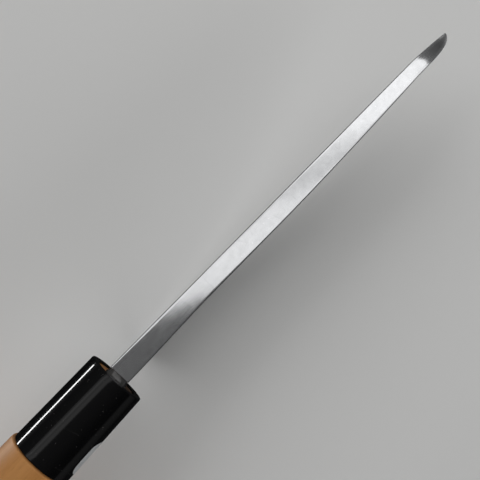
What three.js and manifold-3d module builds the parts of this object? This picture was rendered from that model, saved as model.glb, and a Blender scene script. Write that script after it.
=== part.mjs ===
// A right-handed, single-bevel Japanese boning knife with a ferruled oval handle.
// Millimetres. +X runs from the butt to the tip, +Z from the edge to the spine, and +Y to the
// knife's left, its flat side. The origin is the middle of the butt's flat face.
import * as THREE from "three";
import { mergeVertices } from "three/addons/utils/BufferGeometryUtils.js";
import Module from "manifold-3d";

const wasm = await Module();
wasm.setup();

// ---- driving dimensions -------------------------------------------------------------------

// handle: half sizes are given at the butt or back end first, then at the front end
const HANDLE_LENGTH = 125;
const FERRULE_LENGTH = 31.5;
const GRIP = { halfWidth: [12.3, 11.0], halfHeight: [14.8, 13.4] };
const FERRULE = { halfWidth: [10.25, 9.75], halfHeight: [12.85, 12.25] };
const FERRULE_BORE = { halfWidth: [7.1, 7.1], halfHeight: [9.5, 9.5] };
const OVAL_POWER = 2.15; // 2 is an ellipse, and more is squarer
const BUTT_ROUND = 1.6;
const SHOULDER_ROUND = 0.9;
const RIM_ROUND = 0.5;
const TENON_RECESS = 0.6; // the tenon's end lies this far inside the ferrule's mouth

// blade: distances along the knife are from the ferrule's front face
const NECK_START = 1.7;
const HEEL = 8.5;
const BLADE_LENGTH = 150;
const BLADE_HEIGHT = 40;
const SPINE_Z = 6.5;
const NECK_UNDERSIDE_Z = -5.5;
const HEEL_FILLET = 3;
const TIP_DROP = 8.5; // the point is this far below the spine
const DROP_LENGTH = 20;
const DROP_POWER = 1.6;
const EDGE_STRAIGHTNESS = 0.45; // share of the edge's rise that is a straight line
const BEVEL_SHARE = 0.4; // share of the blade's height that the bevel takes
const EDGE_THICKNESS = 0.15;

// blade thickness, measured from the flat left side
const LEFT_SIDE_Y = 3.5;
const LEFT_SIDE_TURN = 1.5; // degrees, which bring the point back to the handle's middle
const SPINE_THICKNESS = 6.4;
const NECK_SWELL = { extra: 0.65, length: 38 };
const DISTAL_TAPER = { from: 72, to: 142, loss: 1.75, power: 1.6 };
const POINT_LENGTH = 18.5;
const POINT_THICKNESS = 0.5;

// hard steel layer on the left side
const LAYER_THICKNESS = 1.7;
const LAYER_SHARE = 0.85; // share of the blade's height that the layer takes
const LAYER_CORNER = 8; // length of the layer's slanted top corner at the heel
const HARD_POINT = { from: 6, to: 3 }; // the layer grows to the whole blade before the point

// tang: back end first
const TANG = { x: [25, 127], halfWidth: [1.5, 2.6], bottom: [-2.4, -5.0], top: [2.8, 5.5] };

// hidden and small pieces
const GAP = 0.25; // left between pieces that touch
const BEDDING_WALL = 0.5;
const BEDDING_FRONT = 2; // from the tenon's end back to the resin's front
const TENON_ROOT = 5; // how far the tenon reaches back into the grip
const SIDE_DEPTH = 20; // plates on the right side are cut from this far out
const SEAL = { backWidth: 4.5, backHeight: 7.6, frontWidth: 3.7, frontHeight: 6.6 };
const MARK = { x: 102.75, length: 11.9, height: 13.2, corner: 4, thickness: 0.5 };

// how finely curves are divided
const OVAL_SEGMENTS = 64;
const BLADE_STEPS = 60;

const SHOULDER_X = HANDLE_LENGTH - FERRULE_LENGTH;
const HEEL_X = HANDLE_LENGTH + HEEL;
const TIP_X = HEEL_X + BLADE_LENGTH;
const NECK_X = HANDLE_LENGTH + NECK_START;
const TIP_Z = SPINE_Z - TIP_DROP;
const HEEL_Z = SPINE_Z - BLADE_HEIGHT;

// ---- solids -------------------------------------------------------------------------------

// A closed geometry as a solid that can be joined and cut.
function solid(geometry) {
  geometry.deleteAttribute("normal");
  geometry.deleteAttribute("uv");
  const merged = mergeVertices(geometry, 1e-4);
  return new wasm.Manifold(
    new wasm.Mesh({
      numProp: 3,
      vertProperties: merged.attributes.position.array,
      triVerts: new Uint32Array(merged.index.array),
    }),
  );
}

// A named mesh made from a solid, with its own material.
function piece(name, body, colour, roughness, metalness) {
  const { vertProperties, triVerts } = body.getMesh();
  const geometry = new THREE.BufferGeometry();
  geometry.setAttribute("position", new THREE.BufferAttribute(vertProperties, 3));
  geometry.setIndex(new THREE.BufferAttribute(triVerts, 1));
  geometry.computeVertexNormals();
  const material = new THREE.MeshStandardMaterial({ color: colour, roughness, metalness });
  const mesh = new THREE.Mesh(geometry, material);
  mesh.name = name;
  return mesh;
}

// Moves every vertex of a geometry to where place(x, y, z) says.
function reshape(geometry, place) {
  const position = geometry.getAttribute("position");
  for (let i = 0; i < position.count; i++) {
    position.setXYZ(i, ...place(position.getX(i), position.getY(i), position.getZ(i)));
  }
  return geometry;
}

const mix = THREE.MathUtils.lerp;

// An oval body turned about the X axis between two ends. The outline lists [x, inset] pairs,
// and the inset is how far the surface lies inside the oval's straight-tapered side.
function ovalBody(oval, [start, end], outline) {
  const radius = 100;
  const profile = outline.map(([x, inset]) => new THREE.Vector2(radius - inset, x));
  profile.unshift(new THREE.Vector2(0, outline[0][0]));
  profile.push(new THREE.Vector2(0, outline.at(-1)[0]));
  const turned = new THREE.LatheGeometry(profile, OVAL_SEGMENTS);
  const rounded = (v) => Math.sign(v) * Math.abs(v) ** (2 / OVAL_POWER);
  return solid(
    reshape(turned, (across, along, up) => {
      const distance = Math.hypot(across, up);
      if (distance < 1) {
        return [along, 0, 0];
      }
      const t = (along - start) / (end - start);
      const inset = radius - distance;
      const halfWidth = mix(...oval.halfWidth, t) - inset;
      const halfHeight = mix(...oval.halfHeight, t) - inset;
      return [along, halfWidth * rounded(up / distance), halfHeight * rounded(across / distance)];
    }),
  );
}

// Outline points of a quarter-round edge of the given radius. It turns from the flat end at x
// to the side, and side is +1 where the body lies on the +X side of that end.
function roundedEnd(x, radius, side) {
  const points = [];
  for (let i = 0; i <= 4; i++) {
    const angle = (i / 4) * (Math.PI / 2);
    const depth = radius * (1 - Math.cos(angle));
    points.push([x + side * depth, radius * (1 - Math.sin(angle))]);
  }
  return side > 0 ? points : points.reverse();
}

// A four-sided bar that tapers from its back end to its front end, made larger all round by
// grow and longer at the back by extra.
function taperedBar(bar, grow, extra = 0) {
  const box = new THREE.BoxGeometry(1, 1, 1);
  return solid(
    reshape(box, (along, across, up) => {
      const end = along > 0 ? 1 : 0;
      const x = bar.x[end] - (end ? 0 : extra);
      const z = up > 0 ? bar.top[end] + grow : bar.bottom[end] - grow;
      return [x, 2 * across * (bar.halfWidth[end] + grow), z];
    }),
  );
}

// A flat outline in the X-Z plane, given depth along Y.
function sidePlate(shape, lowY, highY) {
  const plate = new THREE.ExtrudeGeometry(shape, { depth: highY - lowY, bevelEnabled: false });
  plate.rotateX(Math.PI / 2);
  plate.translate(0, highY, 0);
  return solid(plate);
}

// ---- blade --------------------------------------------------------------------------------

// Height of the cutting edge: a straight rise with a cubic belly towards the point.
function edgeHeight(x) {
  const u = (x - HEEL_X) / BLADE_LENGTH;
  const rise = EDGE_STRAIGHTNESS * u + (1 - EDGE_STRAIGHTNESS) * u ** 3;
  return mix(HEEL_Z, TIP_Z, rise);
}

// Height of the spine: level, then dropping to the point along a power curve.
function spineHeight(x) {
  const v = Math.max(0, (x - (TIP_X - DROP_LENGTH)) / DROP_LENGTH);
  return SPINE_Z - TIP_DROP * v ** DROP_POWER;
}

function leftSide(x) {
  return LEFT_SIDE_Y - (x - HANDLE_LENGTH) * Math.tan(THREE.MathUtils.degToRad(LEFT_SIDE_TURN));
}

// Thickness of the spine: a swollen neck, a long taper and a rounded closing at the point.
function spineThickness(x) {
  const distance = x - HANDLE_LENGTH;
  const swell = NECK_SWELL.extra * (1 - THREE.MathUtils.smoothstep(distance, 0, NECK_SWELL.length));
  const { from, to, loss, power } = DISTAL_TAPER;
  const taper = loss * Math.max(0, (distance - from) / (to - from)) ** power;
  const closing = Math.max(0, (x - (TIP_X - POINT_LENGTH)) / POINT_LENGTH);
  const full = (SPINE_THICKNESS + swell - taper) * Math.sqrt(Math.max(0, 1 - closing ** 3));
  return Math.max(POINT_THICKNESS, full);
}

// Evenly spaced positions along the blade, from one end to the other.
function stations(from, to, steps) {
  return Array.from({ length: steps + 1 }, (_, i) => mix(from, to, i / steps));
}

const BLADE_PLACES = stations(HEEL_X, TIP_X, BLADE_STEPS);

// The blade's outline from the side: neck, spine, point, edge and heel.
function bladeOutline() {
  const shape = new THREE.Shape();
  shape.moveTo(NECK_X, NECK_UNDERSIDE_Z);
  shape.lineTo(NECK_X, SPINE_Z);
  for (const x of stations(TIP_X - DROP_LENGTH, TIP_X, BLADE_STEPS / 4)) {
    shape.lineTo(x, spineHeight(x));
  }
  for (const x of BLADE_PLACES.toReversed().slice(1)) {
    shape.lineTo(x, edgeHeight(x));
  }
  shape.lineTo(HEEL_X, NECK_UNDERSIDE_Z - HEEL_FILLET);
  const filletX = HEEL_X - HEEL_FILLET;
  shape.absarc(filletX, NECK_UNDERSIDE_Z - HEEL_FILLET, HEEL_FILLET, 0, Math.PI / 2, false);
  shape.closePath();
  return shape;
}

// The blade's outline from above: the straight left side and the tapered right side.
function bladePlan() {
  const shape = new THREE.Shape();
  const places = [NECK_X - 1, ...BLADE_PLACES, TIP_X + 1];
  shape.moveTo(places[0], leftSide(places[0]));
  for (const x of places) {
    shape.lineTo(x, leftSide(x) - spineThickness(x));
  }
  shape.lineTo(places.at(-1), leftSide(places.at(-1)));
  shape.closePath();
  return shape;
}

// Height above the edge of the ridge where the bevel meets the flat right side.
function bevelHeight(x) {
  return Math.max(0.5, BEVEL_SHARE * (spineHeight(x) - edgeHeight(x)));
}

// What the bevel takes away: everything right of the ruled surface from the edge to the ridge.
function bevelWaste() {
  const reach = 30;
  const places = [HEEL_X - 1, ...BLADE_PLACES, TIP_X + 1];
  const box = new THREE.BoxGeometry(1, 1, 1, places.length - 1, 1, 1);
  return solid(
    reshape(box, (along, across, up) => {
      const x = places[Math.round((along + 0.5) * (places.length - 1))];
      const slope = (spineThickness(x) - EDGE_THICKNESS) / bevelHeight(x);
      const rise = up > 0 ? bevelHeight(x) + 1 : -1;
      const surface = leftSide(x) - EDGE_THICKNESS - slope * rise;
      return [x, across > 0 ? surface : -reach, edgeHeight(x) + rise];
    }),
  );
}

// The ground blade without its tang, as one solid.
function groundBlade() {
  const halfSpan = 30;
  const side = sidePlate(bladeOutline(), -halfSpan, halfSpan);
  const plan = new THREE.ExtrudeGeometry(bladePlan(), { depth: 2 * halfSpan, bevelEnabled: false });
  plan.translate(0, 0, SPINE_Z + 1 - 2 * halfSpan);
  return side.intersect(solid(plan)).subtract(bevelWaste());
}

// How far the layer has grown to the whole blade: 0 along the blade, and 1 at the point.
function hardPoint(x) {
  return THREE.MathUtils.smoothstep(x, TIP_X - HARD_POINT.from, TIP_X - HARD_POINT.to);
}

function layerTop(x) {
  const share = mix(LAYER_SHARE, 1.3, hardPoint(x));
  return mix(edgeHeight(x), spineHeight(x), share);
}

function layerDepth(x) {
  const thickness = spineThickness(x);
  return mix(Math.min(LAYER_THICKNESS, thickness * 0.45), thickness + 1, hardPoint(x));
}

// The space of the hard steel layer: a slab on the left side, below the spine, with a slanted
// corner at the heel. It is larger by grow where it meets the softer body.
function layerSpace(grow) {
  const places = [HEEL_X - 1, ...stations(HEEL_X + LAYER_CORNER, TIP_X + 1, BLADE_STEPS)];
  const heelTop = NECK_UNDERSIDE_Z - HEEL_FILLET - 1;
  const box = new THREE.BoxGeometry(1, 1, 1, places.length - 1, 1, 1);
  return solid(
    reshape(box, (along, across, up) => {
      const index = Math.round((along + 0.5) * (places.length - 1));
      const x = places[index];
      const top = (index === 0 ? heelTop : layerTop(x)) + grow;
      const y = across > 0 ? leftSide(x) + 5 : leftSide(x) - layerDepth(x) - grow;
      return [x, y, up > 0 ? top : HEEL_Z - 5];
    }),
  );
}

function edgeSteel(blade) {
  return blade.intersect(layerSpace(0));
}

function bladeBody(blade) {
  return blade.subtract(layerSpace(GAP)).add(taperedBar(TANG, 0));
}

// ---- handle -------------------------------------------------------------------------------

function tangSlot() {
  const clearance = BEDDING_WALL + 2 * GAP;
  return taperedBar(TANG, clearance, 3);
}

// Wooden grip with the tenon that carries the ferrule.
function handleGrip() {
  const outline = [
    ...roundedEnd(0, BUTT_ROUND, 1),
    ...roundedEnd(SHOULDER_X - GAP, SHOULDER_ROUND, -1),
  ];
  const grip = ovalBody(GRIP, [0, SHOULDER_X], outline);
  const [tenonStart, tenonEnd] = [SHOULDER_X - TENON_ROOT, HANDLE_LENGTH - TENON_RECESS];
  const tenon = ovalBody(FERRULE_BORE, [tenonStart, tenonEnd], [
    [tenonStart, GAP],
    [tenonEnd, GAP],
  ]);
  return grip.add(tenon).subtract(tangSlot());
}

// The outside of the ferrule, inset by the given depth and grown at its ends by extra.
function ferruleOutside(inset, extra = 0) {
  const outline = [
    [SHOULDER_X - extra, inset],
    [HANDLE_LENGTH + extra, inset],
  ];
  return ovalBody(FERRULE, [SHOULDER_X, HANDLE_LENGTH], outline);
}

// Upright plate with round corners on the ferrule's right side, larger all round by grow.
function markPlate(grow) {
  const [halfLength, halfHeight] = [MARK.length / 2 + grow, MARK.height / 2 + grow];
  const [left, right] = [MARK.x - halfLength, MARK.x + halfLength];
  const corner = MARK.corner + grow;
  const quarter = Math.PI / 2;
  const shape = new THREE.Shape();
  shape.absarc(right - corner, halfHeight - corner, corner, 0, quarter, false);
  shape.absarc(left + corner, halfHeight - corner, corner, quarter, 2 * quarter, false);
  shape.absarc(left + corner, corner - halfHeight, corner, 2 * quarter, 3 * quarter, false);
  shape.absarc(right - corner, corner - halfHeight, corner, 3 * quarter, 4 * quarter, false);
  shape.closePath();
  return sidePlate(shape, -SIDE_DEPTH, 0);
}

// Black collar on the tenon, with a shallow pocket for the plain mark.
function ferrule() {
  const outline = [
    [SHOULDER_X, 0],
    ...roundedEnd(HANDLE_LENGTH, RIM_ROUND, -1),
  ];
  const outside = ovalBody(FERRULE, [SHOULDER_X, HANDLE_LENGTH], outline);
  const bore = ovalBody(FERRULE_BORE, [SHOULDER_X, HANDLE_LENGTH], [
    [SHOULDER_X - 1, 0],
    [HANDLE_LENGTH + 1, 0],
  ]);
  const floor = ferruleOutside(MARK.thickness + GAP, 2);
  const pocket = markPlate(GAP).subtract(floor);
  return outside.subtract(bore).subtract(pocket);
}

// Plain panel let into the ferrule's right side, flush with it.
function ferruleMark() {
  return markPlate(0).intersect(ferruleOutside(0)).subtract(ferruleOutside(MARK.thickness, 2));
}

// Hardened resin round the tang, inside the slot and closed behind the tang's end.
function tangBedding() {
  const front = HANDLE_LENGTH - TENON_RECESS - BEDDING_FRONT;
  const outer = taperedBar(TANG, BEDDING_WALL + GAP, 2);
  const inner = taperedBar(TANG, GAP, 1);
  const cutShape = new THREE.BoxGeometry(20, 40, 40);
  cutShape.translate(front + 10, 0, 0);
  return outer.subtract(inner).subtract(solid(cutShape));
}

// Bead of resin round the neck, on the tenon's end.
function mouthSeal() {
  const [back, front] = [HANDLE_LENGTH - TENON_RECESS + GAP, NECK_X - GAP];
  const oval = {
    halfWidth: [SEAL.backWidth, SEAL.frontWidth],
    halfHeight: [SEAL.backHeight, SEAL.frontHeight],
  };
  const bead = ovalBody(oval, [back, front], [
    [back, 0],
    [front, 0],
  ]);
  return bead.subtract(taperedBar(TANG, GAP));
}

// ---- assembly -----------------------------------------------------------------------------

const blade = groundBlade();
const knife = new THREE.Group();
knife.name = "boning_knife";
knife.add(
  piece("blade_body", bladeBody(blade), 0xb9bbbd, 0.32, 1),
  piece("edge_steel", edgeSteel(blade), 0xc9cccf, 0.22, 1),
  piece("ferrule", ferrule(), 0x0b0b0c, 0.12, 0),
  piece("handle_grip", handleGrip(), 0xb98c5c, 0.6, 0),
  piece("tang_bedding", tangBedding(), 0x8a6a3a, 0.4, 0),
  piece("mouth_seal", mouthSeal(), 0x55483a, 0.2, 0),
  piece("ferrule_mark", ferruleMark(), 0x8c8c8c, 0.5, 0),
);

export default knife;
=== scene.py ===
"""Boning knife: a laminated single-bevel blade, a glossy black collar and an oval wooden grip.

Every length is in metres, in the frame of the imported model: +X runs from the butt to the point,
+Z from the edge to the spine and +Y to the knife's left, its flat side.
"""

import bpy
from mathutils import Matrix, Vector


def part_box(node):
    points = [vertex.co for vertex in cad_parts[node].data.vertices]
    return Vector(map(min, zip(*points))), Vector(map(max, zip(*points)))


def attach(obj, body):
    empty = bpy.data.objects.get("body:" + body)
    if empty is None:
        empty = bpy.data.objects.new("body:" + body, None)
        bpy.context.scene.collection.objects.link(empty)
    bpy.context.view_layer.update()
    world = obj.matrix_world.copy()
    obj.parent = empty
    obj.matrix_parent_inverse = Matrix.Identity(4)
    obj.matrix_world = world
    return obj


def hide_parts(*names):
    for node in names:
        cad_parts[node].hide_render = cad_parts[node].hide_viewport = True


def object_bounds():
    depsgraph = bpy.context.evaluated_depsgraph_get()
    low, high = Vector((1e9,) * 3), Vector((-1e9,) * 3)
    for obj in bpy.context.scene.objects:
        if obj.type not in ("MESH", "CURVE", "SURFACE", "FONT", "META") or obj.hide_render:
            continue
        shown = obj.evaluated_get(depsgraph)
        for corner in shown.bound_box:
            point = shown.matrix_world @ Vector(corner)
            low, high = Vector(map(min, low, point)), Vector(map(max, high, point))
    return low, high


bl_info = {
    "name": "Boning knife",
    "version": (1, 0, 0),
    "blender": (4, 5, 0),
    "location": "View3D > Sidebar > Knife",
    "description": "Builds a Japanese boning knife and its studio around the packed model",
    "category": "Add Mesh",
}

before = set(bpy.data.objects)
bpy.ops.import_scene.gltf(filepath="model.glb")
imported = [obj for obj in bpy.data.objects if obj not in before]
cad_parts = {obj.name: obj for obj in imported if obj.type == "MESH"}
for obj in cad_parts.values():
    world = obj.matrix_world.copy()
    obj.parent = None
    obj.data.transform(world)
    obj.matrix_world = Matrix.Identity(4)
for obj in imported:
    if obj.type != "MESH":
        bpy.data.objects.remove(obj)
CAD_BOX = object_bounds()

import math

import bmesh
import bpy
import numpy as np
from bpy.props import FloatProperty, FloatVectorProperty, PointerProperty
from bpy.types import Operator, Panel, PropertyGroup
from mathutils import Matrix, Vector

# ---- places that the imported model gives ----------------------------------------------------

BODY_LOW, BODY_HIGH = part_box("blade_body")
EDGE_LOW, EDGE_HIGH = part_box("edge_steel")
COLLAR_LOW, COLLAR_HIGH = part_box("ferrule")
GRIP_LOW, GRIP_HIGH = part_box("handle_grip")
MARK_LOW, MARK_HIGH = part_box("ferrule_mark")

FACE_X = COLLAR_HIGH.x  # the collar's front face
SHOULDER_X = COLLAR_LOW.x  # where the grip meets the collar
HEEL_X = EDGE_LOW.x
TIP_X = EDGE_HIGH.x
BEAD_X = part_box("mouth_seal")[0].x  # the back of the resin bead
FLOOR_Z = CAD_BOX[0].z


# ---- settings ------------------------------------------------------------------------------

# Short forms of the properties below: a length in metres, an angle, a share from 0 to 1, a plain
# number and a colour.


def length(name, default, description):
    return FloatProperty(name=name, description=description, default=default,
                         min=0.0, precision=5, unit="LENGTH")


def turn(name, degrees, description):
    return FloatProperty(name=name, description=description, default=math.radians(degrees),
                         precision=4, subtype="ANGLE")


def share(name, default, description):
    return FloatProperty(name=name, description=description, default=default,
                         min=0.0, max=1.0, subtype="FACTOR")


def number(name, default, description):
    return FloatProperty(name=name, description=description, default=default, min=0.0)


def colour(name, default, description):
    return FloatVectorProperty(name=name, description=description, default=default,
                               size=3, min=0.0, max=1.0, subtype="COLOR")


class BladeSizes(PropertyGroup):
    """Sizes of the ground blade, its neck and its tang."""

    neck_start: length("Neck start", 0.0017, "From the collar's face to the neck's shoulder")
    neck_underside: length("Neck underside", 0.0055, "Depth of the neck below the handle's axis")
    heel_fillet: length("Heel fillet", 0.003, "Radius where the neck turns down to the heel")
    tip_drop: length("Point drop", 0.0085, "How far the point lies below the spine")
    drop_length: length("Drop length", 0.02, "Length of the spine's fall to the point")
    drop_power: number("Drop power", 1.6, "Power of the curve along which the spine falls")
    edge_straightness: share("Edge straightness", 0.45, "Straight share of the edge's rise")
    bevel_share: share("Bevel share", 0.4, "Share of the blade's height that the bevel takes")
    fine_bevel: length("Fine bevel", 0.0006, "Height of the steeper bevel along the edge")
    edge_land: length("Edge land", 0.00004, "Thickness left at the very edge")
    side_turn: turn("Side turn", 1.5, "Turn of the flat side that centres the point")
    spine_thickness: length("Spine thickness", 0.0064, "Thickness of the spine in the middle")
    neck_swell: length("Neck swell", 0.00065, "Extra thickness of the neck")
    swell_length: length("Swell length", 0.038, "Distance over which the extra thickness fades")
    taper_loss: length("Taper loss", 0.00175, "Thickness lost towards the point")
    taper_from: length("Taper start", 0.072, "From the collar's face to the taper's start")
    taper_to: length("Taper end", 0.142, "From the collar's face to the taper's full loss")
    point_length: length("Point length", 0.0185, "Length over which the point closes")
    point_thickness: length("Point thickness", 0.00025, "Thickness left at the very point")
    point_lean: length("Point lean", 0.00105, "How far the flat side turns in at the point")
    lean_length: length("Lean length", 0.0215, "Length over which it turns in")
    corner: length("Spine corner", 0.00035, "Radius of the spine's eased corners")
    crown: share("Spine crown", 0.0012, "Rise of the spine's middle, as a share of its width")
    point_crown: share("Point crown", 0.022, "The same share near the point")
    hollow: length("Hollow", 0.00028, "Depth of the hollow ground into the flat side")
    layer: length("Hard layer", 0.0017, "Thickness of the hard steel layer")
    layer_share: share("Layer share", 0.85, "Share of the blade's height that the layer takes")
    layer_corner: length("Layer corner", 0.008, "Length of the layer's slanted corner at the heel")
    tang_front: length("Tang front half width", 0.0026, "Half the tang's width at the neck")
    tang_back: length("Tang back half width", 0.0015, "Half the tang's width at its end")
    tang_front_height: length("Tang front half height", 0.00525, "Half its height at the neck")
    tang_back_height: length("Tang back half height", 0.0026, "Half its height at its end")


class HandleSizes(PropertyGroup):
    """Sizes of the grip, the collar and the bead of resin at the neck."""

    oval_power: number("Oval power", 2.15, "2 makes an ellipse, and more is squarer")
    grip_front_width: length("Grip front half width", 0.011, "Half width at the shoulder")
    grip_front_height: length("Grip front half height", 0.0134, "Half height at the shoulder")
    butt_round: length("Butt round", 0.0016, "Radius of the butt's edge")
    shoulder_round: length("Shoulder round", 0.0009, "Radius of the shoulder's edge")
    collar_front_width: length("Collar front half width", 0.00975, "Half width at the face")
    collar_front_height: length("Collar front half height", 0.01225, "Half height at the face")
    bore_width: length("Bore half width", 0.0071, "Half the collar's bore across")
    bore_height: length("Bore half height", 0.0095, "Half the collar's bore in height")
    rim_round: length("Rim round", 0.0003, "Radius of the collar's outer front edge")
    lip_round: length("Lip round", 0.00035, "Radius of the collar's inner front edge")
    bead_width: length("Bead half width", 0.0039, "Half the bead's width on the tenon's end")
    bead_height: length("Bead half height", 0.0071, "Half the bead's height there")
    joint_gap: length("Joint gap", 0.00008, "Space left between pieces that fit together")
    mark_corner: number("Mark corner power", 4.0, "Squareness of the plain panel's outline")
    mark_proud: length("Mark proud", 0.00004, "How far the plain panel stands on the collar")


class KnifeColours(PropertyGroup):
    """Colours of the finishes."""

    iron: colour("Spine steel", (0.60, 0.605, 0.615), "Satin outer steel on the spine")
    iron_side: colour("Side steel", (0.47, 0.475, 0.485), "Misty outer steel on the sides")
    edge: colour("Hard steel", (0.70, 0.705, 0.715), "Brighter steel of the hard layer")
    collar: colour("Collar", (0.003, 0.003, 0.0033), "Glossy black of the collar")
    wood_light: colour("Light wood", (0.70, 0.345, 0.108), "Pale bands of the wood")
    wood_dark: colour("Dark wood", (0.43, 0.18, 0.048), "Dark streaks of the wood")
    resin: colour("Resin", (0.045, 0.044, 0.043), "Dark resin round the neck")
    mark: colour("Plain panel", (0.56, 0.57, 0.58), "Plain grey panel on the collar")
    floor: colour("Floor", (0.80, 0.80, 0.79), "Pale studio floor")


class StudioSettings(PropertyGroup):
    """Camera and lights."""

    camera_ahead: length("Camera ahead", 0.01996, "Camera in front of the collar's face")
    camera_height: length("Camera height", 0.21915, "Camera above the handle's axis")
    camera_right: length("Camera right", 0.00186, "Camera to the right of the handle's axis")
    camera_tilt: turn("Camera tilt", 9.515, "Forward turn of the camera from straight down")
    camera_lean: turn("Camera lean", 0.797, "Turn of the camera towards the knife's left")
    knife_angle: turn("Knife angle", 46.956, "Angle of the knife above the view's base line")
    lens: FloatProperty(name="Lens", description="Focal length", default=52.65, unit="CAMERA")
    panel_height: length("Panel height", 0.60, "Height of the soft panel over the spine")
    panel_start: length("Panel start", 0.19, "Where the panels' rear edge crosses the spine's line")
    panel_turn: turn("Panel turn", 37.8, "Turn of the panels' edges from the knife")
    panel_brightness: number("Panel brightness", 1.32, "Radiance of the brightest soft panel")
    left_fill: number("Left fill", 1.5, "Radiance of the soft fill on the left")
    right_fill: number("Right fill", 1.5, "Radiance of the soft fill on the right")
    strip_brightness: number("Strip brightness", 28.0, "Radiance of the low strip on the left")
    ground_share: number("Ground share", 1.1, "Mirrored ground, as a share of the room overhead")
    backdrop_brightness: number("Backdrop brightness", 0.42, "Radiance of the pale backdrop")
    room_brightness: number("Room brightness", 0.155, "Radiance of the room overhead")


class KnifeSettings(PropertyGroup):
    """Everything that a user would change."""

    blade: PointerProperty(type=BladeSizes)
    handle: PointerProperty(type=HandleSizes)
    colours: PointerProperty(type=KnifeColours)
    studio: PointerProperty(type=StudioSettings)


# ---- numbers and meshes --------------------------------------------------------------------

WELD = 1e-6
SHARP = math.radians(32)


def mix(a, b, t):
    """a where t is 0, b where t is 1, and a straight line between them."""
    return a + (b - a) * t


def smooth(low, high, x):
    """0 below low, 1 above high, and 3t squared minus 2t cubed between them."""
    t = np.clip((x - low) / (high - low), 0.0, 1.0)
    return t * t * (3.0 - 2.0 * t)


def run(*stops_and_counts):
    """Joins evenly spaced runs: run(a, 4, b, 2, c) has 4 steps from a to b, then 2 to c."""
    stops = stops_and_counts[0::2]
    counts = stops_and_counts[1::2]
    pieces = [np.linspace(a, b, n, endpoint=False) for a, b, n in zip(stops, stops[1:], counts)]
    return np.concatenate([*pieces, stops[-1:]])


def rounded(value, exponent):
    """A power of the value that keeps the value's sign."""
    return np.sign(value) * np.abs(value) ** exponent


def looped(grid):
    """A grid whose first row is repeated after its last, so that its rows go all the way round."""
    return np.concatenate([grid, grid[:1]])


def piece_from_patches(name, patches, marks=()):
    """One closed mesh object from grids of points.

    A patch is an array of rows, columns and values, where the values are x, y, z and then one
    number for each named mark. Neighbouring points make quads, patches are welded where they
    meet, and a flat opening that is left is filled by one face.
    """
    faces = []
    start = 0
    for patch in patches:
        rows, columns = patch.shape[:2]
        index = start + np.arange(rows * columns).reshape(rows, columns)
        corners = (index[:-1, :-1], index[:-1, 1:], index[1:, 1:], index[1:, :-1])
        faces.append(np.stack(corners, axis=-1).reshape(-1, 4))
        start += rows * columns
    values = np.concatenate([patch.reshape(-1, patch.shape[2]) for patch in patches])
    mesh = bpy.data.meshes.new(name)
    mesh.from_pydata(values[:, :3].tolist(), [], np.concatenate(faces).tolist())
    for column, mark in enumerate(marks, start=3):
        attribute = mesh.attributes.new(mark, "FLOAT", "POINT")
        attribute.data.foreach_set("value", values[:, column].astype(np.float32))
    close_mesh(mesh)
    mesh.shade_smooth()
    mesh.set_sharp_from_angle(angle=SHARP)
    obj = bpy.data.objects.new(name, mesh)
    bpy.context.scene.collection.objects.link(obj)
    return obj


def close_mesh(mesh):
    """Welds the mesh, fills its flat openings and turns every face outwards."""
    bm = bmesh.new()
    bm.from_mesh(mesh)
    bmesh.ops.remove_doubles(bm, verts=bm.verts, dist=WELD)
    bmesh.ops.dissolve_degenerate(bm, dist=WELD / 4, edges=bm.edges)
    openings = [edge for edge in bm.edges if edge.is_boundary]
    if openings:
        bmesh.ops.holes_fill(bm, edges=openings, sides=0)
    bmesh.ops.recalc_face_normals(bm, faces=bm.faces)
    loose = [edge for edge in bm.edges if not edge.is_manifold]
    bm.to_mesh(mesh)
    bm.free()
    if loose:
        raise RuntimeError(f"{mesh.name} is not closed: {len(loose)} edges have no second face")


def place_piece(obj, node, material):
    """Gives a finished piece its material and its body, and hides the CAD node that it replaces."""
    obj.data.materials.append(material)
    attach(obj, "root")
    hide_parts(node)


# ---- blade ---------------------------------------------------------------------------------

LEFT, LEFT_CORNER, TOP, RIGHT_CORNER, RIGHT, BEVEL, FINE = range(7)
RIDGE = float(BEVEL)
WHOLE = float(FINE + 1)
INSIDE = 2.5  # the place given to points that aren't on the skin

# distances back from the point
POINT_ZONE = 0.0032  # from here on, the hard steel is the whole blade
POINT_MARGIN = 0.00015  # the last station
CROSSING = 0.006  # the layer's top starts to cross the spine
SLIDE_START = 0.0075  # the layer's inner corner starts to slide outwards
BOTTOM_RISE = 0.009  # the layer's bottom starts to rise to the ridge
LAYER_RISE = 0.010  # the layer's top starts to rise to the spine
LAYER_OPENING = 0.012  # the gap round the layer starts to close
ROUNDING_END = 0.016  # the spine's crown grows to its height near the point
ROUNDING_START = 0.034

# shares of sizes
CORNER_OF_THICKNESS = 0.3
CORNER_OF_HEIGHT = 0.25
FINE_OF_BEVEL = 0.3
LAYER_OF_THICKNESS = 0.45
HEEL_LAYER_SHARE = 0.6
BOTTOM_LIMIT = 0.97  # how far down the plane bevel the layer's line may lie, as a part of s
BEVEL_FOOT = 4.0  # the plane bevel is aimed at this many times the edge's land

# the hollow's middle and reach, up the side as places s and along the blade as shares
DISH_MIDDLE, DISH_REACH = 0.43, 0.375
DISH_ALONG, DISH_LENGTH = 0.465, 0.45

WAVES = ((0.03, 410.0, 0.0), (0.02, 1130.0, 1.0))  # size, rate and start of the layer's waver
LINE_GAP = 0.0004  # between the layer's lines and the body's, as a part of s
GAP_DEPTH = 0.03  # metres between their weld surfaces for each part of s
LEAN_POWER = 1.2
TAPER_POWER = 1.6
EASE_POWER = 1.7  # brings the stations closer together towards the point
JOIN_STEPS = 10
TANG_LIFT = 0.0002  # the tang's middle lies this far above the handle's axis


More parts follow.
